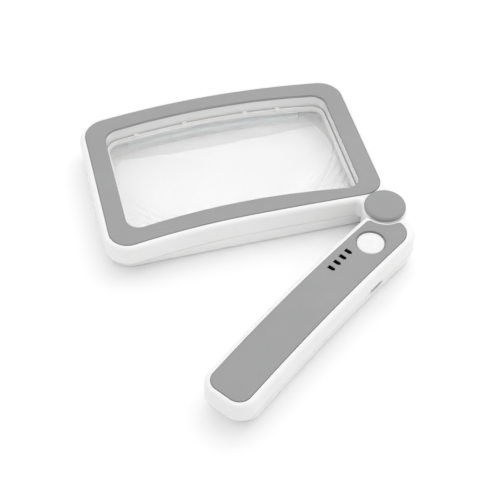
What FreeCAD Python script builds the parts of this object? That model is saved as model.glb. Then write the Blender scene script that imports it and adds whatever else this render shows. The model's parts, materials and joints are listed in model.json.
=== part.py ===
"""Illuminated page magnifier with a fold-out rechargeable handle.

Millimetres.  The origin is on the hinge axis, on the table the magnifier lies on.
+X runs along the lens head (the head lies on the -X side of the hinge), +Y runs
across it and +Z is up.  The handle is drawn along its own X axis and turned about
the hinge by one placement.
"""
import FreeCAD, Part
import math
import os

SIZES = (
    # heights above the table
    ("body_height", 19.5),
    ("parting", 9.0),
    ("seam", 0.3),
    ("floor", 1.8),
    ("plate_under", 17.0),
    ("trim_seat", 18.5),
    ("trim_top", 19.9),
    ("trim_round", 0.35),
    ("edge_round", 2.4),
    ("base_round", 2.4),
    ("wall", 2.2),
    # lens head
    ("lip_top", 12.2),
    ("lip_groove", 1.8),
    ("lens_flange", 2.0),
    ("lens_step", 1.4),
    ("lens_radius", 420.0),
    ("ring_depth", 0.15),
    ("tab_top", 12.9),
    ("tab_clearance", 0.05),
    ("diffuser_floor", 2.6),
    ("lamp_board_height", 5.6),
    ("lamp_bottom", 3.2),
    ("lamp_height", 2.8),
    # hinge
    ("barrel_radius", 11.2),
    ("barrel_top", 9.4),
    ("ear_radius", 10.9),
    ("ear_bottom", 9.8),
    ("ear_floor", 15.4),
    ("ear_well_radius", 8.6),
    ("cap_radius", 10.2),
    ("cap_foot_radius", 9.4),
    ("cap_seat", 19.1),
    ("cap_brim", 19.7),
    ("cap_top", 21.8),
    ("cap_round", 1.7),
    ("cap_crown", 0.25),
    ("spigot_wall", 0.9),
    ("sleeve_radius", 4.5),
    ("sleeve_bore", 3.0),
    ("sleeve_top", 17.6),
    ("bearing_clearance", 0.05),
    ("washer_height", 0.8),
    ("nut_height", 1.9),
    ("lead_hole_height", 4.0),
    # handle
    ("board_bottom", 6.0),
    ("board_top", 7.2),
    ("button_radius", 6.8),
    ("button_top", 19.25),
    ("button_round", 0.6),
    ("button_flange_radius", 8.2),
    ("button_flange_bottom", 16.2),
    ("button_flange", 0.75),
    ("stem_radius", 2.0),
    ("plunger_radius", 1.65),
    ("plunger_foot", 9.6),
    ("plunger_top", 14.6),
    ("switch_height", 3.5),
    ("switch_well", 1.5),
    ("chip_height", 1.2),
    ("stand_radius", 1.6),
    ("socket_height", 3.2),
    ("socket_round", 1.2),
    ("socket_metal", 0.35),
    ("tongue_bottom", 1.25),
    ("tongue_height", 0.7),
    ("cell_radius", 7.0),
    ("cell_length", 47.5),
    ("cell_nub_radius", 2.6),
    ("cell_nub", 0.9),
    ("cell_lift", 0.05),
    ("tab_strip_height", 9.5),
    ("guide_thickness", 1.0),
    ("mark_lamp_height", 0.6),
    # screws
    ("screw_shank", 1.0),
    ("screw_head", 1.9),
    ("screw_bottom", 0.4),
    ("screw_head_height", 1.2),
    ("screw_length", 12.0),
    ("screw_recess", 0.8),
)

FOLD_REST = 216.1        # direction of the handle in plan, degrees from +X
RIM = 3.0                # white rim left showing around the grey trim
TRIM_GAP = 0.25          # shadow gap around a trim plate
BASE_GROW = 2.4          # base outlines are drawn this far inside the real base
TRAY_INSET = 3.0         # wall of a tray at its narrow base
WINDOW_WALL = 1.8
LENS_CENTRE = (-65.2, 55.3)
LED_COUNT = 6
LED_PITCH = 15.0

doc = FreeCAD.newDocument("page_magnifier")
sheet = doc.addObject("Spreadsheet::Sheet", "sizes")
for row, (word, number) in enumerate(SIZES, start=1):
    sheet.set("A%d" % row, word)
    sheet.set("B%d" % row, str(number))
    sheet.setAlias("B%d" % row, word)
doc.recompute()

HEAD_FRAME = FreeCAD.Placement()
HANDLE_FRAME = FreeCAD.Placement(
    FreeCAD.Vector(0, 0, 0), FreeCAD.Rotation(FreeCAD.Vector(0, 0, 1), FOLD_REST)
)
SUBPARTS = []


def size(word):
    """Number held by the sheet under this alias."""
    return float(sheet.get(word))


def cell(word):
    """Expression that reads one cell of the sheet."""
    return "sizes." + word


# ---------------------------------------------------------------- plan outlines
# An outline is a closed list of edges.  A line is (start, end) and an arc is
# (start, middle, end), each point an (x, y) pair.


def unit(dx, dy):
    length = math.hypot(dx, dy)
    return dx / length, dy / length


def on_circle(centre, radius, direction):
    return centre[0] + radius * direction[0], centre[1] + radius * direction[1]


def corner_arc(centre, radius, start, end):
    """Short arc from start to end about centre."""
    a = unit(start[0] - centre[0], start[1] - centre[1])
    b = unit(end[0] - centre[0], end[1] - centre[1])
    return start, on_circle(centre, radius, unit(a[0] + b[0], a[1] + b[1])), end


def bow(centre, radius, start, end):
    """Shallow arc from start to end on a large circle centred below them."""
    x = (start[0] + end[0]) / 2
    return start, (x, centre[1] + math.sqrt(radius**2 - (x - centre[0]) ** 2)), end


def bowed_outline(shape, grow=0.0):
    """Rounded oblong whose long sides both bow towards +Y.

    shape gives the left and right ends, the top side's peak and radius, the bottom
    side's peak and its radii left and right of the middle, and three corner radii.
    grow is a parallel offset outwards.
    """
    left, right, high, high_bend, low, low_bend, low_bend_right = shape[:7]
    top_corner, left_corner, right_corner = shape[7:]
    middle = (left + right) / 2
    high_centre = (middle, high - high_bend)
    low_centre = (middle, low - low_bend)
    low_right_centre = (middle, low - low_bend_right)

    def inside_high(x, radius):
        return x, high_centre[1] + math.sqrt((high_bend - radius) ** 2 - (x - middle) ** 2)

    def above_low(x, radius, centre, bend):
        return x, centre[1] + math.sqrt((bend + radius) ** 2 - (x - middle) ** 2)

    top_left = inside_high(left + top_corner, top_corner)
    top_right = inside_high(right - top_corner, top_corner)
    low_left = above_low(left + left_corner, left_corner, low_centre, low_bend)
    low_right = above_low(right - right_corner, right_corner, low_right_centre, low_bend_right)

    def away(corner, centre):
        return unit(corner[0] - centre[0], corner[1] - centre[1])

    def towards(corner, centre):
        return unit(centre[0] - corner[0], centre[1] - corner[1])

    top_radius = top_corner + grow
    left_radius = left_corner + grow
    right_radius = right_corner + grow
    left_top = (left - grow, top_left[1])
    left_low = (left - grow, low_left[1])
    low_start = on_circle(low_left, left_radius, towards(low_left, low_centre))
    low_peak = (middle, low - grow)
    low_end = on_circle(low_right, right_radius, towards(low_right, low_right_centre))
    right_low = (right + grow, low_right[1])
    right_top = (right + grow, top_right[1])
    high_end = on_circle(top_right, top_radius, away(top_right, high_centre))
    high_start = on_circle(top_left, top_radius, away(top_left, high_centre))
    return [
        (left_top, left_low),
        corner_arc(low_left, left_radius, left_low, low_start),
        bow(low_centre, low_bend - grow, low_start, low_peak),
        bow(low_right_centre, low_bend_right - grow, low_peak, low_end),
        corner_arc(low_right, right_radius, low_end, right_low),
        (right_low, right_top),
        corner_arc(top_right, top_radius, right_top, high_end),
        bow(high_centre, high_bend + grow, high_end, high_start),
        corner_arc(top_left, top_radius, high_start, left_top),
    ]


#               left   right  high  bend    low   bend    bend_r   corners
TRIM_PLAN = (-133.7, 3.3, 99.2, 400.0, 11.2, 365.0, 1800.0, 12.0, 9.5, 9.0)
HEAD_BASE_PLAN = (-133.0, 2.6, 98.4, 460.0, 11.2, 9000.0, 9000.0, 12.0, 10.0, 9.0)
WINDOW_PLAN = (-124.4, -6.1, 91.0, 325.0, 20.3, 320.0, 320.0, 8.0, 7.0, 7.0)
COVER_PLAN = (3.9, 133.7, 2.3, 1100.0, -18.5, 1350.0, 1350.0, 6.0, 9.0, 6.0)
HANDLE_PLAN = (2.0, 133.7, 2.3, 1100.0, -18.5, 1350.0, 1350.0, 6.0, 8.5, 6.0)
HANDLE_BASE_PLAN = (3.0, 129.6, 1.3, 1100.0, -17.6, 1350.0, 1350.0, 6.0, 8.5, 6.5)


def moved(edges, dx=0.0, dy=0.0, flip=False):
    """The same outline, shifted and, where flip is set, mirrored in the X axis."""
    sign = -1.0 if flip else 1.0
    return [tuple((x + dx, sign * y + dy) for x, y in edge) for edge in edges]


def handle_outline(shape, grow=0.0):
    return moved(bowed_outline(shape, grow), flip=True)


def head_with_ear():
    """Outline of the upper head shell: the hinge ear runs into the front corner."""
    outline = bowed_outline(TRIM_PLAN, RIM)
    ear = size("ear_radius")
    blend = 3.0
    middle = (TRIM_PLAN[0] + TRIM_PLAN[1]) / 2
    bend = TRIM_PLAN[6]
    low_centre = (middle, TRIM_PLAN[4] - bend)
    reach = ear + blend
    # the blend circle touches the bottom side from below and the ear from outside
    y = TRIM_PLAN[4] - RIM - blend
    for _ in range(20):
        x = -math.sqrt(reach**2 - y**2)
        y = low_centre[1] + math.sqrt((bend - RIM - blend) ** 2 - (x - middle) ** 2)
    front = (x, y)
    front_touch = on_circle(front, blend, unit(x - low_centre[0], y - low_centre[1]))
    ear_start = on_circle((0, 0), ear, unit(x, y))
    side_x = TRIM_PLAN[1] + RIM + blend
    side = (side_x, math.sqrt(reach**2 - side_x**2))
    ear_end = on_circle((0, 0), ear, unit(*side))
    side_touch = (side_x - blend, side[1])
    low_peak = (middle, TRIM_PLAN[4] - RIM)
    right_top = outline[5][1]
    return outline[:3] + [
        bow(low_centre, bend - RIM, low_peak, front_touch),
        corner_arc(front, blend, front_touch, ear_start),
        (ear_start, (0, -ear), ear_end),
        corner_arc(side, blend, ear_end, side_touch),
        (side_touch, right_top),
    ] + outline[6:]


def ring(outer, inner):
    return outer + inner


def oblong(x0, y0, x1, y1):
    corners = [(x0, y0), (x1, y0), (x1, y1), (x0, y1)]
    return [(corners[i], corners[(i + 1) % 4]) for i in range(4)]


def circle(radius, x=0.0, y=0.0):
    """Full circle as one edge: centre and radius."""
    return [("circle", (x, y), radius)]


def geometry(edge):
    """Sketch geometry of one edge."""
    if edge[0] == "circle":
        centre = FreeCAD.Vector(edge[1][0], edge[1][1], 0)
        return Part.Circle(centre, FreeCAD.Vector(0, 0, 1), edge[2])
    points = [FreeCAD.Vector(x, y, 0) for x, y in edge]
    if len(points) == 2:
        return Part.LineSegment(*points)
    return Part.Arc(*points)


# ---------------------------------------------------------------- feature helpers


class Solid:
    """A PartDesign body built from flat sketches at stated heights."""

    def __init__(self, name, frame=HEAD_FRAME):
        self.body = doc.addObject("PartDesign::Body", name)
        self.body.Label = name
        self.body.Placement = frame
        self.name = name
        self.count = 0

    def plane(self, role):
        for feature in self.body.Origin.OriginFeatures:
            if feature.Role == role:
                return feature
        raise ValueError(role)

    def sketch(self, edges, level=None, role="XY_Plane"):
        self.count += 1
        sketch = self.body.newObject("Sketcher::SketchObject", "%s_sketch%d" % (self.name, self.count))
        sketch.AttachmentSupport = [(self.plane(role), "")]
        sketch.MapMode = "FlatFace"
        if level is not None:
            sketch.setExpression("AttachmentOffset.Base.z", level)
        for edge in edges:
            sketch.addGeometry(geometry(edge), False)
        return sketch

    def feature(self, kind):
        self.count += 1
        return self.body.newObject("PartDesign::" + kind, "%s_%s%d" % (self.name, kind, self.count))

    def pad(self, edges, level, height):
        """Add material from level upwards."""
        pad = self.feature("Pad")
        pad.Profile = self.sketch(edges, level)
        pad.setExpression("Length", height)
        return self.settle(pad, 1)

    def pocket(self, edges, level, depth):
        """Remove material from level downwards."""
        pocket = self.feature("Pocket")
        pocket.Profile = self.sketch(edges, level)
        pocket.setExpression("Length", depth)
        return self.settle(pocket, -1)

    def loft(self, sections):
        """Straight-sided loft through (edges, level) pairs."""
        loft = self.feature("AdditiveLoft")
        sketches = [self.sketch(edges, level) for edges, level in sections]
        loft.Profile = sketches[0]
        loft.Sections = sketches[1:]
        loft.Ruled = True
        return self.settle(loft, 1)

    def revolve(self, edges):
        """Turn a profile drawn on the XZ plane about the body's Z axis."""
        turn = self.feature("Revolution")
        turn.Profile = self.sketch(edges, None, "XZ_Plane")
        turn.ReferenceAxis = (self.plane("Z_Axis"), [""])
        turn.Angle = 360
        return self.settle(turn, 1)

    def round_edges(self, chosen, radius):
        """Fillet every edge of the tip that the test picks."""
        tip = self.body.Tip
        names = ["Edge%d" % i for i, edge in enumerate(tip.Shape.Edges, start=1) if chosen(edge)]
        fillet = self.feature("Fillet")
        fillet.Base = (tip, names)
        fillet.setExpression("Radius", radius)
        return self.settle(fillet, 0)

    def settle(self, feature, sense):
        """Recompute and make sure the feature really added or removed material."""
        before = getattr(self, "volume", 0.0)
        doc.recompute()
        self.volume = feature.Shape.Volume
        if sense * (self.volume - before) < 0 or (sense and abs(self.volume - before) < 1e-6):
            raise RuntimeError("%s: %s changed nothing" % (self.name, feature.Name))
        return feature

    def finish(self):
        SUBPARTS.append(self.body)
        return self.body


def at(frame, x, y, z=0.0):
    """Placement of a primitive whose own origin is at x, y, z in a frame."""
    return frame.multiply(FreeCAD.Placement(FreeCAD.Vector(x, y, z), FreeCAD.Rotation()))


def cylinder(name, frame, x, y, bottom, radius, height):
    solid = doc.addObject("Part::Cylinder", name)
    solid.Placement = at(frame, x, y)
    solid.setExpression("Placement.Base.z", bottom)
    solid.setExpression("Radius", radius)
    solid.setExpression("Height", height)
    return solid


def box(name, frame, low, high, bottom, height):
    """Upright block between two corners of the plan."""
    solid = doc.addObject("Part::Box", name)
    solid.Placement = at(frame, *low)
    solid.Length = high[0] - low[0]
    solid.Width = high[1] - low[1]
    solid.setExpression("Placement.Base.z", bottom)
    solid.setExpression("Height", height)
    return solid


def cut(name, base, tool):
    result = doc.addObject("Part::Cut", name)
    result.Base = base
    result.Tool = tool
    return result


def fuse(name, solids):
    result = doc.addObject("Part::MultiFuse", name)
    result.Shapes = solids
    return result


def group(name, solids):
    """One node of several identical, separate solids."""
    result = doc.addObject("Part::Compound", name)
    result.Links = solids
    return keep(result, name)


def keep(solid, name):
    solid.Label = name
    SUBPARTS.append(solid)
    return solid


def at_height(edge, height):
    """True for an edge that lies flat at this height."""
    bounds = edge.BoundBox
    return abs(bounds.ZMin - height) < 1e-4 and abs(bounds.ZMax - height) < 1e-4


# ---------------------------------------------------------------- lens head

HEAD_POSTS = ((-129.8, 27.0), (-129.8, 82.0), (-0.8, 82.0), (-0.8, 34.0))
LENS_SEAT = "(sizes.parting - sizes.lens_flange)"
SEAM_REACH = 0.5         # the seam's cutter stands out this far from the wall
POST_RADIUS = 2.4
POST_ROOF = "(sizes.plate_under - 2)"
POST_CLEARANCE = 0.1     # a lower post's hole is this much wider than the screw
HEAD_CLEARANCE = 0.2     # and so is the recess for its head
BARREL_GAP = 0.4
EAR_WALL = 2.2
BOARD_HALF = 45.0
FAR_BOARD_Y = 94.0
NEAR_BOARD_Y = 13.0
BOARD_THICK = 1.0
STRIP_HALF = 46.8        # frosted strip in front of a lamp board
STRIP_GAP = 0.2
STRIP_INSET = 0.1
SLOT_OVERRUN = 0.4
LAMP_HALF = 1.75
LAMP_THICK = 0.8
LIP_WIDTH = 1.6          # lip at the foot of the window's wall, over the lens's flange
GROOVE_WIDTH = 0.6       # shadow groove between that wall and the lip
LENS_REACH = 57.0        # distance from the middle at which the bowed face meets the flange
LENS_GAP = 0.35          # between the thick part of the lens and the lip
FLANGE_GROW = 1.5        # the lens's flange reaches this far under the window's wall
RING_CENTRE = (0.0, 25.0)
RING_START = 61.0
RING_STEP = 3.6
RING_WIDTH = 0.4
RING_COUNT = 7
TAB_OFFSETS = (-42.0, -15.5, 17.5, 35.0)
TAB_HALF = 1.2
TAB_REACH = 0.6          # the tabs stand out this far from the lip


def head_upper_shell():
    """Top half of the head, with the ear that turns on the handle's sleeve."""
    shell = Solid("head_upper_shell")
    shell.pad(head_with_ear(), cell("parting"), "sizes.body_height - sizes.parting")
    top = size("body_height")
    shell.round_edges(lambda edge: at_height(edge, top), cell("edge_round"))
    trim_seat = bowed_outline(TRIM_PLAN, TRIM_GAP)
    shell.pocket(trim_seat, cell("body_height"), "sizes.body_height - sizes.trim_seat")
    shell.pocket(seam(bowed_outline, TRIM_PLAN), "sizes.parting + sizes.seam", cell("seam"))
    hollow = ring(bowed_outline(TRIM_PLAN, RIM - size("wall")), bowed_outline(WINDOW_PLAN, WINDOW_WALL))
    shell.pocket(hollow, cell("plate_under"), "sizes.plate_under - sizes.parting")
    window = bowed_outline(WINDOW_PLAN)
    shell.pocket(window, cell("body_height"), "sizes.body_height - sizes.lip_top")
    shell.pocket(bowed_outline(WINDOW_PLAN, -LIP_WIDTH), cell("lip_top"), "sizes.lip_top - sizes.parting")
    groove = ring(window, bowed_outline(WINDOW_PLAN, -GROOVE_WIDTH))
    shell.pocket(groove, cell("lip_top"), cell("lip_groove"))
    tab_foot = "sizes.parting + sizes.lens_step + sizes.tab_clearance"
    for offset in TAB_OFFSETS:
        shell.pad(tab(offset), tab_foot, "sizes.tab_top - (%s)" % tab_foot)
    # wall that closes the hollow around the hinge, then the hinge's own cuts
    shell.pad(ear_root(), cell("parting"), "sizes.plate_under - sizes.parting")
    clear = size("barrel_radius") + BARREL_GAP
    shell.pocket(circle(clear), cell("ear_bottom"), "sizes.ear_bottom - sizes.parting")
    shell.pocket(circle(size("cap_radius")), cell("body_height"), "sizes.body_height - sizes.cap_seat")
    shell.pocket(circle(size("ear_well_radius")), cell("cap_seat"), "sizes.cap_seat - sizes.ear_floor")
    bore = size("sleeve_radius") + size("bearing_clearance")
    shell.pocket(circle(bore), cell("ear_floor"), "sizes.ear_floor - sizes.ear_bottom")
    upper_posts(shell, HEAD_POSTS)
    shell.finish()


def seam(outline, shape):
    """Narrow band along the foot of an upper shell's wall, cut away to show the joint."""
    return ring(outline(shape, RIM + SEAM_REACH), outline(shape, RIM - size("seam")))


def upper_posts(shell, places):
    """Blind screw posts that hang from the top wall."""
    for x, y in places:
        shell.pad(circle(POST_RADIUS, x, y), cell("parting"), "sizes.plate_under - sizes.parting")
        shell.pocket(circle(size("screw_shank"), x, y), POST_ROOF, POST_ROOF + " - sizes.parting")


def lower_posts(shell, places):
    """Posts that stand on the floor, drilled through for the screws and their heads."""
    head_depth = "sizes.screw_bottom + sizes.screw_head_height"
    for x, y in places:
        shell.pad(circle(POST_RADIUS, x, y), "sizes.floor / 2", "sizes.parting - sizes.floor / 2")
        shell.pocket(circle(size("screw_shank") + POST_CLEARANCE, x, y), cell("parting"), cell("parting"))
        shell.pocket(circle(size("screw_head") + HEAD_CLEARANCE, x, y), head_depth, head_depth)


def tab(offset):
    """Small tab on the far side of the lip that reaches over the lens's edge."""
    wall_y = window_side(True, 0.0, abs(offset) + TAB_HALF)[0][1]
    x = LENS_CENTRE[0] + offset
    return oblong(x - TAB_HALF, wall_y - LIP_WIDTH - TAB_REACH, x + TAB_HALF, wall_y + WINDOW_WALL / 2)


def ear_root():
    """Crescent of solid plastic between the ear and the hollow of the head."""
    inner = size("ear_radius") - 1.0
    outer = size("barrel_radius") + BARREL_GAP + EAR_WALL
    start = math.radians(127.0)
    end = math.radians(66.0)
    middle = (start + end) / 2

    def point(radius, angle):
        return radius * math.cos(angle), radius * math.sin(angle)

    return [
        (point(inner, start), point(outer, start)),
        (point(outer, start), point(outer, middle), point(outer, end)),
        (point(outer, end), point(inner, end)),
        (point(inner, end), point(inner, middle), point(inner, start)),
    ]


def rounded_base(outline):
    """Loft sections that round the lower edge of a tray, from the table upwards."""
    steps = 3
    sections = []
    for step in range(steps + 1):
        angle = math.radians(90.0 * step / steps)
        grow = BASE_GROW - size("base_round") * (1 - math.sin(angle))
        sections.append((outline(grow), "sizes.base_round * %.4f" % (1 - math.cos(angle))))
    return sections


def head_lower_shell():
    """Bottom half of the head: a tray that narrows towards a straight-fronted base."""
    shell = Solid("head_lower_shell")
    base = rounded_base(lambda grow: bowed_outline(HEAD_BASE_PLAN, grow))
    shell.loft(base + [(bowed_outline(TRIM_PLAN, RIM), cell("parting"))])
    window_wall = bowed_outline(WINDOW_PLAN, WINDOW_WALL)
    tray = ring(bowed_outline(HEAD_BASE_PLAN, BASE_GROW - TRAY_INSET), window_wall)
    shell.pocket(tray, cell("parting"), "sizes.parting - sizes.floor")
    shell.pocket(window_wall, cell("parting"), cell("lens_flange"))
    shell.pocket(bowed_outline(WINDOW_PLAN), LENS_SEAT, LENS_SEAT)
    shell.pad(ear_root(), "sizes.floor / 2", "sizes.parting - sizes.floor / 2")
    shell.pocket(circle(size("barrel_radius") + BARREL_GAP), cell("parting"), cell("parting"))
    for edges in (diffuser_slot(True), diffuser_slot(False)):
        shell.pocket(edges, LENS_SEAT, LENS_SEAT + " - sizes.diffuser_floor")
    lower_posts(shell, HEAD_POSTS)
    shell.finish()


def window_side(far, grow, half):
    """Stretch of the window's far or near edge, half a length each side of the middle."""
    middle, peak, bend = LENS_CENTRE[0], WINDOW_PLAN[4], WINDOW_PLAN[5]
    sign = -1.0
    if far:
        middle, peak, bend, sign = LENS_CENTRE[0], WINDOW_PLAN[2], WINDOW_PLAN[3], 1.0
    centre_y = peak - bend
    radius = bend + sign * grow
    drop = math.sqrt(radius**2 - half**2)
    return (middle - half, centre_y + drop), (middle, centre_y + radius), (middle + half, centre_y + drop)


def window_strip(far, inner_grow, outer_grow, half):
    """Curved strip along a long side of the window."""
    inner = window_side(far, inner_grow, half)
    outer = window_side(far, outer_grow, half)
    return [inner, (inner[2], outer[2]), (outer[2], outer[1], outer[0]), (outer[0], inner[0])]


def diffuser_slot(far):
    return window_strip(far, -SLOT_OVERRUN, WINDOW_WALL + SLOT_OVERRUN, STRIP_HALF + STRIP_GAP)


def diffuser(name, far):
    """Frosted strip in front of the lamps."""
    strip = Solid(name)
    edges = window_strip(far, STRIP_INSET, WINDOW_WALL - STRIP_INSET, STRIP_HALF)
    strip.pad(edges, cell("diffuser_floor"), LENS_SEAT + " - sizes.diffuser_floor")
    strip.finish()


def lamp_board(side, y, lamp_y):
    """Narrow circuit board standing on the tray, and its row of lamps."""
    middle = LENS_CENTRE[0]
    low = (middle - BOARD_HALF, y)
    high = (middle + BOARD_HALF, y + BOARD_THICK)
    board = box("board_" + side, HEAD_FRAME, low, high, cell("floor"), cell("lamp_board_height"))
    keep(board, "lamp_board_" + side)
    lamps = []
    for index in range(LED_COUNT):
        x = middle + LED_PITCH * (index - (LED_COUNT - 1) / 2)
        lamps.append(box("lamp_%s_%d" % (side, index), HEAD_FRAME, (x - LAMP_HALF, lamp_y),
                         (x + LAMP_HALF, lamp_y + LAMP_THICK), cell("lamp_bottom"), cell("lamp_height")))
    group("lamps_" + side, lamps)


def bezel():
    """Grey trim ring let into the top of the head."""
    trim = Solid("bezel")
    edges = ring(bowed_outline(TRIM_PLAN), bowed_outline(WINDOW_PLAN, -TRIM_GAP))
    trim.pad(edges, cell("trim_seat"), "sizes.trim_top - sizes.trim_seat")
    top = size("trim_top")
    trim.round_edges(lambda edge: at_height(edge, top), cell("trim_round"))
    trim.finish()


def lens_drop(r):
    """How far the bowed face has moved from its crown at this distance from the middle."""
    bend = size("lens_radius")
    return bend - math.sqrt(bend**2 - r**2)


def lens_profile():
    """Half section: flat on top and bowed below."""
    half_flange = size("lens_flange") / 2
    crown = half_flange + lens_drop(LENS_REACH)
    top = half_flange + size("lens_step")
    rim = LENS_REACH + 12.0
    half_way = (LENS_REACH / 2, lens_drop(LENS_REACH / 2) - crown)
    return [
        ((0, -crown), (0, top)),
        ((0, top), (rim, top)),
        ((rim, top), (rim, -half_flange)),
        ((rim, -half_flange), (LENS_REACH, -half_flange)),
        ((LENS_REACH, -half_flange), half_way, (0, -crown)),
    ]


def lens_rings():
    """Fine circular grooves in the corners of the lens, about its optical centre."""
    edges = []
    for count in range(RING_COUNT):
        radius = RING_START + RING_STEP * count
        edges += circle(radius, *RING_CENTRE) + circle(radius + RING_WIDTH, *RING_CENTRE)
    return edges


def lens():
    """Moulded magnifying lens with a flat flange that the two shells clamp."""
    middle_z = size("parting") - size("lens_flange") / 2
    frame = FreeCAD.Placement(FreeCAD.Vector(LENS_CENTRE[0], LENS_CENTRE[1], middle_z), FreeCAD.Rotation())
    glass = Solid("lens", frame)
    glass.body.setExpression("Placement.Base.z", "sizes.parting - sizes.lens_flange / 2")
    glass.revolve(lens_profile())
    window = moved(bowed_outline(WINDOW_PLAN, -LIP_WIDTH - LENS_GAP), -LENS_CENTRE[0], -LENS_CENTRE[1])
    above = str(LENS_REACH / 4)
    through = str(LENS_REACH / 2)
    glass.pocket(ring(circle(LENS_REACH * 2), window), above, through)
    glass.pocket(gate_corner(), above, through)
    flange = moved(bowed_outline(WINDOW_PLAN, FLANGE_GROW), -LENS_CENTRE[0], -LENS_CENTRE[1])
    glass.pad(flange, "-sizes.lens_flange / 2", cell("lens_flange"))
    glass.pocket(lens_rings(), "sizes.lens_flange / 2 + sizes.lens_step", cell("ring_depth"))
    glass.finish()


def gate_corner():
    """Triangle taken off the near left corner of the thick part of the lens."""
    corner = (-66.0, -46.0)
    along = (-45.5, corner[1])
    up = (corner[0], -11.1)
    return [(corner, along), (along, up), (up, corner)]


def screws(name, frame, places):
    """Countersunk cross-slotted self-tapping screws driven up from below."""
    made = []
    bottom = cell("screw_bottom")
    shank_bottom = "sizes.screw_bottom + sizes.screw_head_height - 0.2"
    half, thin = 1.1, 0.25
    for index, (x, y) in enumerate(places):
        tag = "%s_%d" % (name, index)
        head = cylinder(tag + "_head", frame, x, y, bottom, cell("screw_head"), cell("screw_head_height"))
        shank = cylinder(tag + "_shank", frame, x, y, shank_bottom, cell("screw_shank"),
                         cell("screw_length"))
        whole = fuse(tag + "_whole", [head, shank])
        slots = []
        for way, (dx, dy) in enumerate(((half, thin), (thin, half))):
            slots.append(box("%s_slot_%d" % (tag, way), frame, (x - dx, y - dy), (x + dx, y + dy),
                             bottom + " - 0.1", cell("screw_recess")))
        made.append(cut(tag, whole, fuse(tag + "_slots", slots)))
    group(name, made)


# ---------------------------------------------------------------- hinge

LEAD_HOLE_TOP = "sizes.floor + sizes.lead_hole_height"


def hinge_cap():
    """Slightly domed grey disc that hides the hinge nut."""
    cap = Solid("hinge_cap")
    top, brim, seat = size("cap_top"), size("cap_brim"), size("cap_seat")
    foot, radius, bend = size("cap_foot_radius"), size("cap_radius"), size("cap_round")
    face = radius - bend
    shoulder = top - size("cap_crown")
    slant = bend * math.sqrt(0.5)
    dome = (face**2 + size("cap_crown") ** 2) / (2 * size("cap_crown"))
    half_way = top - dome + math.sqrt(dome**2 - face**2 / 4)
    spigot = size("ear_well_radius") - size("bearing_clearance")
    bore = spigot - size("spigot_wall")
    tip = seat - size("spigot_wall")
    cap.revolve([
        ((0, seat), (bore, seat)),
        ((bore, seat), (bore, tip)),
        ((bore, tip), (spigot, tip)),
        ((spigot, tip), (spigot, seat)),
        ((spigot, seat), (foot, seat)),
        ((foot, seat), (radius, brim)),
        ((radius, brim), (radius, shoulder - bend)),
        ((radius, shoulder - bend), (face + slant, shoulder - bend + slant), (face, shoulder)),
        ((face, shoulder), (face / 2, half_way), (0, top)),
        ((0, top), (0, seat)),
    ])
    cap.finish()


def hinge_sleeve():
    """Hollow pivot fixed in the handle; the lamp leads pass up through it."""
    sleeve = Solid("hinge_sleeve", HANDLE_FRAME)
    tube = ring(circle(size("sleeve_radius")), circle(size("sleeve_bore")))
    sleeve.pad(tube, cell("floor"), "sizes.sleeve_top - sizes.floor")
    sleeve.pocket(lead_hole(0.0), LEAD_HOLE_TOP, cell("lead_hole_height"))
    sleeve.finish()


def lead_hole(start):
    """Plan of the hole that takes the leads from the handle into the sleeve."""
    half = 1.4
    return oblong(start, -half, size("barrel_radius") + 5.0, half)


def hinge_washer():
    """Conical spring washer that gives the hinge its drag."""
    cone = doc.addObject("Part::Cone", "washer_cone")
    cone.setExpression("Placement.Base.z", "sizes.ear_floor + sizes.bearing_clearance")
    cone.setExpression("Radius1", "sizes.ear_well_radius - 0.8")
    cone.setExpression("Radius2", "sizes.sleeve_radius + 0.9")
    cone.setExpression("Height", cell("washer_height"))
    bore = "sizes.sleeve_radius + 0.1"
    hole = cylinder("washer_hole", HANDLE_FRAME, 0, 0, "sizes.ear_floor - 1", bore,
                    "sizes.washer_height + 2")
    keep(cut("washer_ring", cone, hole), "hinge_washer")


def hinge_nut():
    """Six-sided nut on the end of the sleeve."""
    nut = Solid("hinge_nut", HANDLE_FRAME)
    reach = 7.0
    turns = [math.radians(60.0 * count) for count in range(6)]
    corners = [(reach * math.cos(turn), reach * math.sin(turn)) for turn in turns]
    flats = [(corners[i], corners[(i + 1) % 6]) for i in range(6)]
    above_washer = "sizes.ear_floor + sizes.bearing_clearance + sizes.washer_height"
    nut.pad(ring(flats, circle(size("sleeve_radius"))), above_washer, cell("nut_height"))
    nut.finish()


# ---------------------------------------------------------------- handle

HANDLE_POSTS = ((15.2, 15.6), (71.6, 2.0), (71.6, 14.3), (126.4, 9.2))
BUTTON_AT = (23.4, 8.25)
BUTTON_GAP = 0.35        # between the button and the shell's hole
BUTTON_COVER_GAP = 0.55  # between the button and the cover's hole
SLOT_START = 34.9
SLOT_STEP = 4.4
SLOT_COUNT = 4
SLOT_Y = 3.6
SLOT_PLACES = tuple((SLOT_START + SLOT_STEP * index, SLOT_Y) for index in range(SLOT_COUNT))
SLOT_SIZE = (4.1, 2.1)
GUIDE_GAP = 0.2          # the light guide's windows are this much smaller than the slots
PORT_X = 36.4
PORT_HALF = 4.65
PORT_START = 16.8        # the port's cut runs from here out through the side wall
PORT_END = 26.0
PORT_RISE = 3.4
SOCKET_START = 13.6
SOCKET_END = 19.8
SOCKET_GAP = 0.15
SOCKET_BACK = 1.0
TONGUE_HALF = 3.3
BOARD_LOW = (19.5, 0.4)
BOARD_HIGH = (69.0, 16.6)
CHIP_LOW = (52.0, 6.0)
CHIP_SIDE = 6.0
STAND_PLACES = ((23.0, 3.2), (65.0, 3.2), (23.0, 14.2), (65.0, 14.2))
SWITCH_HALF = 3.0
CELL_START = 74.8
CELL_Y = 8.2
TAB_STRIP = 0.3
TAB_STRIP_HALF = 2.0
PAD_LOW = (83.0, 4.2)
PAD_HIGH = (115.0, 12.2)
COVER_CLEAR = 12.1
COVER_CORNER = 1.5
INNER_CORNER = 1.0
EAR_GAP = 0.35
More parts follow.
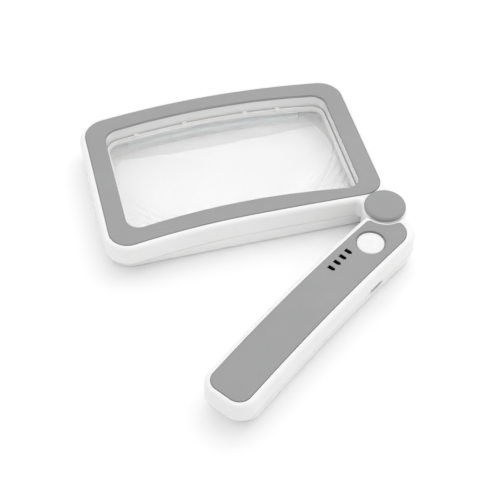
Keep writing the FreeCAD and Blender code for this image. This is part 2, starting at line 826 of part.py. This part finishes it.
BARREL_STEP = 0.7        # the barrel's foot is this much smaller, and this high


def bullet(x, y, length, width):
    """Indicator slot: square towards the lens head, pointed on the other end."""
    half = width / 2
    low = y - length / 2
    high = y + length / 2
    shoulder = high - width * 0.45
    points = [(x - half, low), (x + half, low), (x + half, shoulder), (x, high), (x - half, shoulder)]
    return [(points[i], points[(i + 1) % 5]) for i in range(5)]


def indicator_slots(shrink=0.0):
    edges = []
    for x, y in SLOT_PLACES:
        edges += bullet(x, y, SLOT_SIZE[0] - shrink, SLOT_SIZE[1] - shrink)
    return edges


def handle_upper_shell():
    """Top half of the handle, cut away around the head's hinge ear."""
    shell = Solid("handle_upper_shell", HANDLE_FRAME)
    shell.pad(handle_outline(HANDLE_PLAN, RIM), cell("parting"), "sizes.body_height - sizes.parting")
    top = size("body_height")
    shell.round_edges(lambda edge: at_height(edge, top), cell("edge_round"))
    shell.pocket(seam(handle_outline, HANDLE_PLAN), "sizes.parting + sizes.seam", cell("seam"))
    clear = size("ear_radius") + EAR_GAP
    through = "sizes.body_height - sizes.parting"
    shell.pocket(circle(clear), cell("body_height"), through)
    seat = bitten(handle_outline(COVER_PLAN, TRIM_GAP), COVER_CLEAR - TRIM_GAP, COVER_CORNER + TRIM_GAP)
    shell.pocket(seat, cell("body_height"), "sizes.body_height - sizes.trim_seat")
    inside = bitten(handle_outline(HANDLE_PLAN, RIM - size("wall")), clear + size("wall"), INNER_CORNER)
    shell.pocket(inside, cell("plate_under"), "sizes.plate_under - sizes.parting")
    shell.pocket(circle(size("button_radius") + BUTTON_GAP, *BUTTON_AT), cell("body_height"), through)
    shell.pocket(indicator_slots(), cell("body_height"), through)
    upper_posts(shell, HANDLE_POSTS)
    port_top = "sizes.board_top + %s" % PORT_RISE
    shell.pocket(port_cut(), port_top, port_top + " - sizes.parting")
    shell.finish()


def port_cut():
    """Plan of the opening in the side wall in front of the charging socket."""
    return oblong(PORT_X - PORT_HALF, PORT_START, PORT_X + PORT_HALF, PORT_END)


def bitten(edges, radius, rounding):
    """Outline of a handle plate with a round bite taken out about the hinge.

    The bite starts on the long side next to the lens head and ends on the short end
    of the plate or, where it is wide, on the rounded corner beyond that end.  Both
    ends of the bite are rounded.
    """
    end_side, corner, long_side = edges[0], edges[1], edges[7]
    side_centre, bend = circle_through(*long_side)
    near = max(circle_meets(side_centre, bend - rounding, radius + rounding))
    side_touch = on_circle(side_centre, bend, unit(near[0] - side_centre[0], near[1] - side_centre[1]))
    side = corner_arc(side_centre, bend, long_side[0], side_touch)

    left = end_side[0][0]
    reach = radius + rounding
    far = (left + rounding, math.sqrt(reach**2 - (left + rounding) ** 2))
    if far[1] < end_side[1][1]:
        end_touch = (left, far[1])
        first = [(end_touch, end_side[1]), corner]
    else:
        centre, bend = circle_through(*corner)
        far = max(circle_meets(centre, bend - rounding, reach), key=lambda point: point[1])
        end_touch = on_circle(centre, bend, unit(far[0] - centre[0], far[1] - centre[1]))
        first = [corner_arc(centre, bend, end_touch, corner[2])]

    bite_start = on_circle((0, 0), radius, unit(*near))
    bite_end = on_circle((0, 0), radius, unit(*far))
    return first + edges[2:7] + [
        side,
        corner_arc(near, rounding, side_touch, bite_start),
        corner_arc((0, 0), radius, bite_start, bite_end),
        corner_arc(far, rounding, bite_end, end_touch),
    ]


def circle_through(a, b, c):
    """Centre and radius of the circle through three points."""
    ax, ay, bx, by, cx, cy = a + b + c
    d = 2 * (ax * (by - cy) + bx * (cy - ay) + cx * (ay - by))
    sa, sb, sc = ax**2 + ay**2, bx**2 + by**2, cx**2 + cy**2
    x = (sa * (by - cy) + sb * (cy - ay) + sc * (ay - by)) / d
    y = (sa * (cx - bx) + sb * (ax - cx) + sc * (bx - ax)) / d
    return (x, y), math.hypot(ax - x, ay - y)


def circle_meets(centre, bend, radius):
    """The two points where a circle meets one of this radius about the hinge."""
    distance = math.hypot(*centre)
    along = (radius**2 - bend**2 + distance**2) / (2 * distance)
    across = math.sqrt(radius**2 - along**2)
    ux, uy = centre[0] / distance, centre[1] / distance
    return [
        (along * ux - across * uy, along * uy + across * ux),
        (along * ux + across * uy, along * uy - across * ux),
    ]


def handle_lower_shell():
    """Bottom half of the handle with the barrel that carries the hinge sleeve."""
    shell = Solid("handle_lower_shell", HANDLE_FRAME)
    base = rounded_base(lambda grow: handle_outline(HANDLE_BASE_PLAN, grow))
    shell.loft(base + [(handle_outline(HANDLE_PLAN, RIM), cell("parting"))])
    barrel = size("barrel_radius")
    tray = bitten(handle_outline(HANDLE_BASE_PLAN, BASE_GROW - TRAY_INSET), barrel + 0.6, INNER_CORNER)
    shell.pocket(tray, cell("parting"), "sizes.parting - sizes.floor")
    shell.pad(circle(barrel - BARREL_STEP), "0", cell("barrel_top"))
    shell.pad(circle(barrel), str(BARREL_STEP), "sizes.barrel_top - %s" % BARREL_STEP)
    shell.pocket(circle(size("sleeve_radius")), cell("barrel_top"), "sizes.barrel_top - sizes.floor")
    shell.pocket(lead_hole(size("sleeve_bore")), LEAD_HOLE_TOP, cell("lead_hole_height"))
    lower_posts(shell, HANDLE_POSTS)
    shell.pocket(port_cut(), cell("parting"), "sizes.parting - sizes.board_top + 0.2")
    shell.finish()


def handle_cover():
    """Grey trim plate on top of the handle."""
    cover = Solid("handle_cover", HANDLE_FRAME)
    thickness = "sizes.trim_top - sizes.trim_seat"
    cover.pad(bitten(handle_outline(COVER_PLAN), COVER_CLEAR, COVER_CORNER), cell("trim_seat"), thickness)
    top = size("trim_top")
    cover.round_edges(lambda edge: at_height(edge, top), cell("trim_round"))
    cover.pocket(circle(size("button_radius") + BUTTON_COVER_GAP, *BUTTON_AT), cell("trim_top"), thickness)
    cover.pocket(indicator_slots(), cell("trim_top"), thickness)
    cover.finish()


def power_button():
    """White push disc held down by its flange under the handle's top wall."""
    button = Solid("power_button", HANDLE_FRAME)
    place = BUTTON_AT
    flange = circle(size("button_flange_radius"), *place)
    button.pad(flange, cell("button_flange_bottom"), cell("button_flange"))
    button.pad(circle(size("button_radius"), *place), "sizes.button_flange_bottom + 0.5",
               "sizes.button_top - sizes.button_flange_bottom - 0.5")
    top = size("button_top")
    button.round_edges(lambda edge: at_height(edge, top), cell("button_round"))
    button.pad(circle(size("stem_radius"), *place), "sizes.plunger_top + 0.03",
               "sizes.button_flange_bottom - sizes.plunger_top + 0.1")
    button.finish()


def push_switch():
    """Square switch body and its round plunger."""
    x, y = BUTTON_AT
    low = (x - SWITCH_HALF, y - SWITCH_HALF)
    high = (x + SWITCH_HALF, y + SWITCH_HALF)
    body = box("switch_block", HANDLE_FRAME, low, high, cell("board_top"), cell("switch_height"))
    well = cylinder("switch_hole", HANDLE_FRAME, x, y, "sizes.board_top + sizes.switch_well",
                    "sizes.plunger_radius + 0.1", cell("switch_height"))
    keep(cut("switch_cut", body, well), "switch_body")
    plunger = cylinder("plunger_pin", HANDLE_FRAME, x, y, cell("plunger_foot"), cell("plunger_radius"),
                       "sizes.plunger_top - sizes.plunger_foot")
    keep(plunger, "switch_plunger")


def control_board():
    """Circuit board that carries the switch, the socket and the indicator lamps."""
    plate = box("board_plate", HANDLE_FRAME, BOARD_LOW, BOARD_HIGH, cell("board_bottom"),
                "sizes.board_top - sizes.board_bottom")
    keep(plate, "control_board")
    chip_high = (CHIP_LOW[0] + CHIP_SIDE, CHIP_LOW[1] + CHIP_SIDE)
    chip = box("chip_block", HANDLE_FRAME, CHIP_LOW, chip_high, cell("board_top"), cell("chip_height"))
    keep(chip, "control_chip")
    stands = []
    for index, (x, y) in enumerate(STAND_PLACES):
        stands.append(cylinder("stand_%d" % index, HANDLE_FRAME, x, y, cell("floor"), cell("stand_radius"),
                               "sizes.board_bottom - sizes.floor"))
    group("board_stands", stands)


def charging_socket():
    """Metal charging socket that faces out through the side wall, and its tongue."""
    shell = Solid("charging_socket", HANDLE_FRAME)
    half = PORT_HALF - SOCKET_GAP
    outside = oblong(PORT_X - half, SOCKET_START, PORT_X + half, SOCKET_END)
    shell.pad(outside, cell("board_top"), cell("socket_height"))
    deep = SOCKET_END - SOCKET_START - SOCKET_BACK
    shell.round_edges(lambda edge: edge.BoundBox.YLength > deep, cell("socket_round"))
    inner = half - size("socket_metal")
    shell.pocket(oblong(PORT_X - inner, SOCKET_START + SOCKET_BACK, PORT_X + inner, SOCKET_END),
                 "sizes.board_top + sizes.socket_height - sizes.socket_metal",
                 "sizes.socket_height - 2 * sizes.socket_metal")
    shell.finish()
    low = (PORT_X - TONGUE_HALF, SOCKET_START + SOCKET_BACK)
    high = (PORT_X + TONGUE_HALF, SOCKET_END - SOCKET_BACK)
    bottom = "sizes.board_top + sizes.tongue_bottom"
    tongue = box("tongue_block", HANDLE_FRAME, low, high, bottom, cell("tongue_height"))
    keep(tongue, "socket_tongue")


def battery():
    """Round lithium cell lying along the handle, its end tabs and its foam pad."""
    centre_z = size("floor") + size("cell_radius") + size("cell_lift")
    along = FreeCAD.Placement(FreeCAD.Vector(CELL_START, CELL_Y, centre_z),
                              FreeCAD.Rotation(FreeCAD.Vector(0, 1, 0), 90))
    rounds = []
    for word, radius, length in (("can", "cell_radius", "sizes.cell_length"),
                                 ("nub", "cell_nub_radius", "sizes.cell_length + sizes.cell_nub")):
        solid = doc.addObject("Part::Cylinder", "cell_" + word)
        solid.Placement = HANDLE_FRAME.multiply(along)
        solid.setExpression("Radius", cell(radius))
        solid.setExpression("Height", length)
        rounds.append(solid)
    keep(fuse("cell_whole", rounds), "battery_cell")
    end = CELL_START + size("cell_length") + size("cell_nub")
    tabs = []
    for index, x in enumerate((CELL_START - TAB_STRIP, end)):
        low = (x, CELL_Y - TAB_STRIP_HALF)
        high = (x + TAB_STRIP, CELL_Y + TAB_STRIP_HALF)
        tabs.append(box("tab_%d" % index, HANDLE_FRAME, low, high, cell("floor"), cell("tab_strip_height")))
    group("battery_tabs", tabs)
    cell_top = "sizes.floor + 2 * sizes.cell_radius + sizes.cell_lift"
    pad = box("pad_block", HANDLE_FRAME, PAD_LOW, PAD_HIGH, cell_top, "sizes.plate_under - (%s)" % cell_top)
    keep(pad, "battery_pad")


def indicators():
    """Dark light guide with four windows, and the four lamps below it."""
    guide = Solid("indicator_windows", HANDLE_FRAME)
    length, width = SLOT_SIZE
    x0 = SLOT_PLACES[0][0] - width
    x1 = SLOT_PLACES[-1][0] + width
    plate = oblong(x0, SLOT_Y - length * 0.75, x1, SLOT_Y + length * 0.75)
    guide.pad(plate, "sizes.plate_under - sizes.guide_thickness", cell("guide_thickness"))
    guide.pad(indicator_slots(GUIDE_GAP), "sizes.plate_under - sizes.guide_thickness / 2",
              "sizes.trim_top - sizes.plate_under + sizes.guide_thickness / 2 - 0.2")
    guide.finish()
    lamps = []
    for index, (x, y) in enumerate(SLOT_PLACES):
        lamps.append(box("mark_lamp_%d" % index, HANDLE_FRAME, (x - 0.8, y - 0.4), (x + 0.8, y + 0.4),
                         cell("board_top"), cell("mark_lamp_height")))
    group("indicator_lamps", lamps)


# ---------------------------------------------------------------- whole object


def build():
    head_upper_shell()
    head_lower_shell()
    bezel()
    lens()
    diffuser("diffuser_far", True)
    diffuser("diffuser_near", False)
    lamp_board("far", FAR_BOARD_Y, FAR_BOARD_Y - LAMP_THICK)
    lamp_board("near", NEAR_BOARD_Y, NEAR_BOARD_Y + BOARD_THICK)
    screws("head_screws", HEAD_FRAME, HEAD_POSTS)
    hinge_cap()
    hinge_sleeve()
    hinge_washer()
    hinge_nut()
    handle_upper_shell()
    handle_lower_shell()
    handle_cover()
    power_button()
    push_switch()
    control_board()
    charging_socket()
    battery()
    indicators()
    screws("handle_screws", HANDLE_FRAME, HANDLE_POSTS)


def check():
    """Stop before writing anything if a feature failed or a solid is not sound."""
    for item in doc.Objects:
        if "Invalid" in item.State or "Error" in item.State:
            raise RuntimeError("%s is %s" % (item.Name, item.State))
    for item in SUBPARTS:
        if item.Shape.isNull() or not item.Shape.isValid():
            raise RuntimeError("%s has no sound shape" % item.Label)


def write():
    os.makedirs("parts", exist_ok=True)
    for item in SUBPARTS:
        item.Shape.exportStep("parts/%s.step" % item.Label)
        bounds = item.Shape.BoundBox
        print("%-20s %2d solids  volume %9.1f  z %.2f to %.2f"
              % (item.Label, len(item.Shape.Solids), item.Shape.Volume, bounds.ZMin, bounds.ZMax))


build()
doc.recompute()
check()
write()
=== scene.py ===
"""Looks, light and camera for the illuminated page magnifier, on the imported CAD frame."""
import bpy
import json
import math
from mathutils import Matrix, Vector


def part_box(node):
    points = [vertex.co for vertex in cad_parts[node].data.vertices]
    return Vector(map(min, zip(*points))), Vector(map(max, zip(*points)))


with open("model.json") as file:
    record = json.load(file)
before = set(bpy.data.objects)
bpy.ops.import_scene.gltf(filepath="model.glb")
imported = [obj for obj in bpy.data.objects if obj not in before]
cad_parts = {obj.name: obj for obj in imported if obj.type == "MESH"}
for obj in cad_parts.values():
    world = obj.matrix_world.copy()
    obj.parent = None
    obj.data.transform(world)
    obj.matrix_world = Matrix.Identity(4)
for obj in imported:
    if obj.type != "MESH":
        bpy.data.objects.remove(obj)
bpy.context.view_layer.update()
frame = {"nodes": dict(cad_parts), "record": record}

NODES = frame["nodes"]

# Lengths are in metres, as in the frame, unless a comment says otherwise.

# How much of what is behind the lens it hides, and how much more its fine moulded rings do, whose
# whiter, less clear lines are painted glints of the ring edges.
LENS_ALPHA = 0.24
RING_GLINT_ALPHA = 0.58
RING_GLINT_TRANSMISSION = 0.45
RING_CENTRE_SHIFT = 0.025   # the rings' centre lies this far behind the middle of the lens
RING_START = 0.0610         # radius of the innermost ring
RING_STEP = 0.0036
RING_WIDTH = 0.0004

# Moulded plastic is a little smoother within this distance of an edge.
EDGE_WIDTH = 0.0006
EDGE_POLISH = 0.10
EDGE_SAMPLES = 4
TARNISH = 0.82              # the darkest patches of plated metal, as a share of its colour

# The surround: the cosine to its bright side at which each strength is reached.
DOME_TOWARDS = (0.30, 0.70, 0.60)
DOME_LOW, DOME_LOW_AT = 0.76, -0.6
DOME_HIGH, DOME_HIGH_AT = 1.06, 0.7
KEY_PLACE = (0.12, 0.15, 0.60)
KEY_AIM = (-0.06, -0.02, 0.01)
KEY_WIDTH = 0.5
KEY_POWER = 0.7             # watts
FLOOR_HALF = 3.0

# The catalogue picture's viewpoint. Angles are in degrees, focal length and sensor in mm.
CAMERA_PLACE = (-0.1635, -0.3690, 0.450)
CAMERA_AZIMUTH = -14.5
CAMERA_ELEVATION = 49.3
CAMERA_FOCAL = 86.4
CAMERA_SENSOR = 36.0
CAMERA_NEAR = 0.01


# ---------------------------------------------------------------- node helpers


class Look:
    """A procedural material: one Principled shader and the nodes that vary it."""

    def __init__(self, name, **fixed):
        """Fixed values are shader inputs by name, with _ for a space."""
        self.material = bpy.data.materials.new(name)
        self.material.use_nodes = True
        self.tree = self.material.node_tree
        self.shader = self.tree.nodes["Principled BSDF"]
        for socket, value in fixed.items():
            self.shader.inputs[socket.replace("_", " ")].default_value = value
        self.normal = None

    def node(self, kind, **settings):
        """Add a node. A setting is one of its properties, or one of its inputs."""
        made = self.tree.nodes.new(kind)
        for key, value in settings.items():
            if hasattr(made, key):
                setattr(made, key, value)
            else:
                made.inputs[key].default_value = value
        return made

    def link(self, start, end):
        self.tree.links.new(start, end)

    def fed(self, kind, operation, values):
        """Add a math node and give its inputs outputs or plain values, in order."""
        made = self.node(kind, operation=operation)
        for socket, value in zip(made.inputs, values):
            if isinstance(value, bpy.types.NodeSocket):
                self.link(value, socket)
            else:
                socket.default_value = value
        return made

    def math(self, operation, *values):
        return self.fed("ShaderNodeMath", operation, values).outputs["Value"]

    def vector_math(self, operation, *values, output="Vector"):
        return self.fed("ShaderNodeVectorMath", operation, values).outputs[output]

    def place(self):
        """Object coordinates."""
        return self.node("ShaderNodeTexCoord").outputs["Object"]

    def noise(self, scale, detail=3.0, roughness=0.55, stretch=None):
        """Noise of this many cells a metre, squeezed along each axis by stretch."""
        source = self.place()
        if stretch:
            mapping = self.node("ShaderNodeMapping", Scale=stretch)
            self.link(source, mapping.inputs["Vector"])
            source = mapping.outputs["Vector"]
        texture = self.node("ShaderNodeTexNoise", Scale=scale, Detail=detail, Roughness=roughness)
        self.link(source, texture.inputs["Vector"])
        return texture.outputs["Fac"]

    def spots(self, scale):
        """Distance from the middle of the nearest of this many cells a metre."""
        texture = self.node("ShaderNodeTexVoronoi", Scale=scale)
        self.link(self.place(), texture.inputs["Vector"])
        return texture.outputs["Distance"]

    def ramp(self, source, low, high, start=0.3, end=0.7):
        """Turn start into low and end into high, evenly between and held beyond."""
        remap = self.node("ShaderNodeMapRange")
        remap.inputs["From Min"].default_value = start
        remap.inputs["From Max"].default_value = end
        remap.inputs["To Min"].default_value = low
        remap.inputs["To Max"].default_value = high
        self.link(source, remap.inputs["Value"])
        return remap.outputs["Result"]

    def tint(self, factor, dark, light):
        """Colour that goes from dark to light as factor goes from 0 to 1."""
        mix = self.node("ShaderNodeMix", data_type="RGBA")
        colours = [socket for socket in mix.inputs if socket.type == "RGBA"]
        colours[0].default_value = (*dark, 1.0)
        colours[1].default_value = (*light, 1.0)
        self.link(factor, mix.inputs["Factor"])
        return next(socket for socket in mix.outputs if socket.type == "RGBA")

    def colour(self, output):
        self.link(output, self.shader.inputs["Base Color"])

    def roughness(self, output):
        self.link(output, self.shader.inputs["Roughness"])

    def bump(self, height, depth, strength=1.0):
        """Add a bump on top of those there are. Depth is how far height 1 stands out."""
        bump = self.node("ShaderNodeBump", Strength=strength, Distance=depth)
        self.link(height, bump.inputs["Height"])
        if self.normal:
            self.link(self.normal, bump.inputs["Normal"])
        self.normal = bump.outputs["Normal"]
        self.link(self.normal, self.shader.inputs["Normal"])

    def edge_mask(self):
        """1 along edges, 0 on open faces."""
        bevel = self.node("ShaderNodeBevel", samples=EDGE_SAMPLES, Radius=EDGE_WIDTH)
        face = self.node("ShaderNodeNewGeometry").outputs["Normal"]
        level = self.vector_math("DOT_PRODUCT", bevel.outputs["Normal"], face, output="Value")
        return self.ramp(level, 1.0, 0.0, start=0.80, end=0.99)


# ---------------------------------------------------------------- materials


def moulded(name, dark, light, roughness, grain, depth, **fixed):
    """Moulded plastic: fine spark-eroded grain, faint flow marks and smoother edges."""
    look = Look(name, **fixed)
    flow = look.noise(35.0, detail=4.0)
    look.colour(look.tint(look.ramp(flow, 0.0, 1.0, start=0.25, end=0.75), dark, light))
    patches = look.ramp(look.noise(160.0, detail=5.0), roughness - 0.05, roughness + 0.07)
    look.roughness(look.math("MULTIPLY_ADD", look.edge_mask(), -EDGE_POLISH, patches))
    look.bump(look.noise(grain, detail=2.0, roughness=0.7), depth)
    look.bump(flow, 0.00003, strength=0.6)
    return look.material


def white_plastic():
    """White shell with a slight sheen and a little light bleeding through it."""
    return moulded("white_plastic", (0.82, 0.82, 0.817), (0.86, 0.86, 0.857),
                   roughness=0.36, grain=5200.0, depth=0.000010,
                   Coat_Weight=0.08, Coat_Roughness=0.25, Subsurface_Weight=0.06,
                   Subsurface_Radius=(1.0, 1.0, 1.0), Subsurface_Scale=0.001)


def grey_plastic():
    """Matt grey trim with a coarser grain."""
    return moulded("grey_plastic", (0.298, 0.298, 0.300), (0.322, 0.322, 0.324),
                   roughness=0.52, grain=4200.0, depth=0.000022)


def black_plastic():
    """Black plastic of the small parts inside."""
    return moulded("black_plastic", (0.012, 0.012, 0.013), (0.022, 0.022, 0.023),
                   roughness=0.45, grain=5200.0, depth=0.000015)


def button_plastic():
    """White button face with a fine stipple for grip."""
    look = Look("button_plastic")
    look.colour(look.tint(look.noise(300.0), (0.76, 0.76, 0.76), (0.86, 0.86, 0.86)))
    look.roughness(look.ramp(look.noise(900.0, detail=2.0), 0.42, 0.60))
    look.bump(look.spots(1500.0), 0.00006, strength=0.9)
    return look.material


def ring_glint_mask(look):
    """Up to 1 along the fine moulded rings of the lens, 0 between them and inside them; it places
    the painted glints of the ring edges.
    """
    low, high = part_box("lens")
    centre = ((low[0] + high[0]) / 2, (low[1] + high[1]) / 2 + RING_CENTRE_SHIFT, 0.0)
    flat = look.vector_math("MULTIPLY", look.place(), (1.0, 1.0, 0.0))
    radius = look.vector_math("DISTANCE", flat, centre, output="Value")
    beyond = look.math("SUBTRACT", radius, RING_START)
    nearest = look.math("PINGPONG", beyond, RING_STEP / 2)
    line = look.ramp(nearest, 1.0, 0.0, start=0.0, end=RING_WIDTH)
    outside = look.ramp(beyond, 0.0, 1.0, start=-RING_WIDTH, end=0.0)
    patches = look.ramp(look.noise(22.0, detail=2.0), 0.3, 1.0, start=0.35, end=0.65)
    return look.math("MULTIPLY", look.math("MULTIPLY", line, outside), patches)


def lens_acrylic():
    """Polished clear acrylic with faint smudges, and fine moulded rings drawn as whiter, less
    clear lines that are painted glints of the ring edges.
    """
    look = Look("lens_acrylic", Base_Color=(0.99, 0.99, 0.99, 1.0),
                Transmission_Weight=1.0, IOR=1.49, Alpha=LENS_ALPHA)
    rings = ring_glint_mask(look)
    smudges = look.noise(28.0, detail=5.0, roughness=0.6)
    look.roughness(look.ramp(smudges, 0.0, 0.05, start=0.45, end=0.75))
    # Along the rings the lens is whiter and less clear: painted glints of the ring edges.
    clear = look.ramp(rings, 1.0, RING_GLINT_TRANSMISSION, start=0.0, end=1.0)
    solid = look.ramp(rings, LENS_ALPHA, RING_GLINT_ALPHA, start=0.0, end=1.0)
    look.link(clear, look.shader.inputs["Transmission Weight"])
    look.link(solid, look.shader.inputs["Alpha"])
    look.bump(look.noise(60.0, detail=2.0), 0.000004, strength=0.3)
    return look.material


def frosted_acrylic():
    """Milky strips that spread the lamps' light."""
    look = Look("frosted_acrylic", Subsurface_Weight=0.35, Subsurface_Scale=0.003)
    look.colour(look.tint(look.noise(120.0), (0.90, 0.905, 0.90), (0.96, 0.965, 0.96)))
    look.roughness(look.ramp(look.noise(700.0), 0.45, 0.65))
    look.bump(look.noise(3200.0, detail=2.0), 0.00003)
    return look.material


def circuit_board():
    """Green solder mask with a hint of the copper pattern under it."""
    look = Look("circuit_board", Coat_Weight=0.5, Coat_Roughness=0.15)
    tracks = look.node("ShaderNodeTexBrick", Scale=260.0, Color1=(0.018, 0.12, 0.045, 1.0),
                       Color2=(0.022, 0.14, 0.055, 1.0), Mortar=(0.05, 0.22, 0.09, 1.0))
    tracks.inputs["Mortar Size"].default_value = 0.06
    look.link(look.place(), tracks.inputs["Vector"])
    look.colour(tracks.outputs["Color"])
    look.roughness(look.ramp(look.noise(500.0), 0.28, 0.45))
    look.bump(tracks.outputs["Fac"], 0.00002, strength=0.6)
    return look.material


def lamp_resin():
    """Yellow phosphor resin of the lamps."""
    look = Look("lamp_resin")
    tone = look.noise(900.0, detail=2.0)
    look.colour(look.tint(tone, (0.80, 0.60, 0.14), (0.92, 0.76, 0.30)))
    look.roughness(look.ramp(look.noise(1500.0, detail=2.0), 0.22, 0.40))
    look.bump(look.noise(2500.0, detail=2.0), 0.00002)
    return look.material


def turned_metal(name, colour, roughness):
    """Plated metal with fine tool marks round the vertical axis."""
    look = Look(name, Metallic=1.0)
    darker = tuple(channel * TARNISH for channel in colour)
    look.colour(look.tint(look.noise(400.0, detail=4.0), darker, colour))
    marks = look.noise(1800.0, roughness=0.6, stretch=(1.0, 1.0, 12.0))
    look.roughness(look.ramp(marks, roughness - 0.08, roughness + 0.12))
    look.bump(marks, 0.000012, strength=0.7)
    return look.material


def dark_window():
    """Smoked light guide that gives back almost no light."""
    look = Look("dark_window", Specular_IOR_Level=0.0)
    look.colour(look.tint(look.noise(600.0), (0.001, 0.001, 0.001), (0.004, 0.004, 0.004)))
    look.roughness(look.ramp(look.noise(800.0, detail=4.0), 0.22, 0.40))
    look.bump(look.noise(1500.0, detail=2.0), 0.000006)
    return look.material


def shrink_wrap():
    """Blue film shrunk round the battery cell."""
    look = Look("shrink_wrap", Coat_Weight=0.4, Coat_Roughness=0.12)
    tone = look.noise(150.0, detail=4.0)
    look.colour(look.tint(tone, (0.025, 0.075, 0.26), (0.035, 0.10, 0.34)))
    look.roughness(look.ramp(look.noise(400.0, detail=4.0), 0.22, 0.40))
    look.bump(look.noise(220.0), 0.00005)
    return look.material


def foam():
    """Open-celled black foam."""
    look = Look("foam")
    cells = look.spots(1400.0)
    look.colour(look.tint(cells, (0.02, 0.02, 0.02), (0.08, 0.08, 0.08)))
    look.roughness(look.ramp(cells, 0.85, 1.0))
    look.bump(cells, 0.0002)
    return look.material


def floor_paint():
    """Plain matt white floor."""
    look = Look("floor_paint")
    look.colour(look.tint(look.noise(6.0), (0.955, 0.955, 0.955), (0.965, 0.965, 0.965)))
    look.roughness(look.ramp(look.noise(40.0), 0.65, 0.8))
    look.bump(look.noise(900.0, detail=2.0), 0.00001, strength=0.3)
    return look.material


def dress():
    """Give every CAD node the material of its slot in the record."""
    by_slot = {
        "white_shell": white_plastic(),
        "grey_trim": grey_plastic(),
        "clear_lens": lens_acrylic(),
        "frosted_white": frosted_acrylic(),
        "circuit_board": circuit_board(),
        "lamp_yellow": lamp_resin(),
        "screw_steel": turned_metal("plated_steel", (0.62, 0.62, 0.64), 0.30),
        "spring_steel": turned_metal("spring_steel", (0.50, 0.51, 0.53), 0.34),
        "white_button": button_plastic(),
        "black_plastic": black_plastic(),
        "dark_window": dark_window(),
        "socket_metal": turned_metal("socket_metal", (0.66, 0.66, 0.68), 0.22),
        "cell_wrap": shrink_wrap(),
        "nickel": turned_metal("nickel", (0.70, 0.67, 0.60), 0.25),
        "foam": foam(),
    }
    for entry in frame["record"]["subparts"]:
        materials = NODES[entry["node"]].data.materials
        materials.clear()
        materials.append(by_slot[entry["material_slot"]])


# ---------------------------------------------------------------- stage


def floor():
    """Large square floor at the height the object stands on."""
    half = FLOOR_HALF
    mesh = bpy.data.meshes.new("floor")
    corners = [(-half, -half, 0), (half, -half, 0), (half, half, 0), (-half, half, 0)]
    mesh.from_pydata(corners, [], [(0, 1, 2, 3)])
    plane = bpy.data.objects.new("floor", mesh)
    bpy.context.scene.collection.objects.link(plane)
    mesh.materials.append(floor_paint())


def key_light():
    """Large soft square lamp above and behind the object, on its right."""
    data = bpy.data.lights.new("key", "AREA")
    data.shape = "SQUARE"
    data.size = KEY_WIDTH
    data.energy = KEY_POWER
    lamp = bpy.data.objects.new("key", data)
    lamp.location = KEY_PLACE
    towards = Vector(KEY_AIM) - Vector(KEY_PLACE)
    lamp.rotation_euler = towards.to_track_quat("-Z", "Y").to_euler()
    bpy.context.scene.collection.objects.link(lamp)


def studio_dome():
    """White surround that is brightest overhead and towards the back right."""
    world = bpy.data.worlds.new("studio")
    world.use_nodes = True
    nodes, links = world.node_tree.nodes, world.node_tree.links
    direction = nodes.new("ShaderNodeTexCoord")
    towards = nodes.new("ShaderNodeVectorMath")
    towards.operation = "DOT_PRODUCT"
    towards.inputs[1].default_value = Vector(DOME_TOWARDS).normalized()
    remap = nodes.new("ShaderNodeMapRange")
    remap.inputs["From Min"].default_value = DOME_LOW_AT
    remap.inputs["From Max"].default_value = DOME_HIGH_AT
    remap.inputs["To Min"].default_value = DOME_LOW
    remap.inputs["To Max"].default_value = DOME_HIGH
    links.new(direction.outputs["Generated"], towards.inputs[0])
    links.new(towards.outputs["Value"], remap.inputs["Value"])
    links.new(remap.outputs["Result"], nodes["Background"].inputs["Strength"])
    nodes["Background"].inputs["Color"].default_value = (1.0, 1.0, 1.0, 1.0)
    bpy.context.scene.world = world


def camera():
    """Camera at the angle and distance of the catalogue picture."""
    azimuth = math.radians(CAMERA_AZIMUTH)
    elevation = math.radians(CAMERA_ELEVATION)
    data = bpy.data.cameras.new("camera")
    data.sensor_width = CAMERA_SENSOR
    data.lens = CAMERA_FOCAL
    data.clip_start = CAMERA_NEAR
    eye = bpy.data.objects.new("camera", data)
    eye.location = CAMERA_PLACE
    flat = math.cos(elevation)
    towards = Vector((-math.sin(azimuth) * flat, math.cos(azimuth) * flat, -math.sin(elevation)))
    eye.rotation_euler = towards.to_track_quat("-Z", "Y").to_euler()
    bpy.context.scene.collection.objects.link(eye)
    bpy.context.scene.camera = eye


camera()
dress()
floor()
studio_dome()
key_light()
bpy.context.scene.view_settings.view_transform = "Standard"
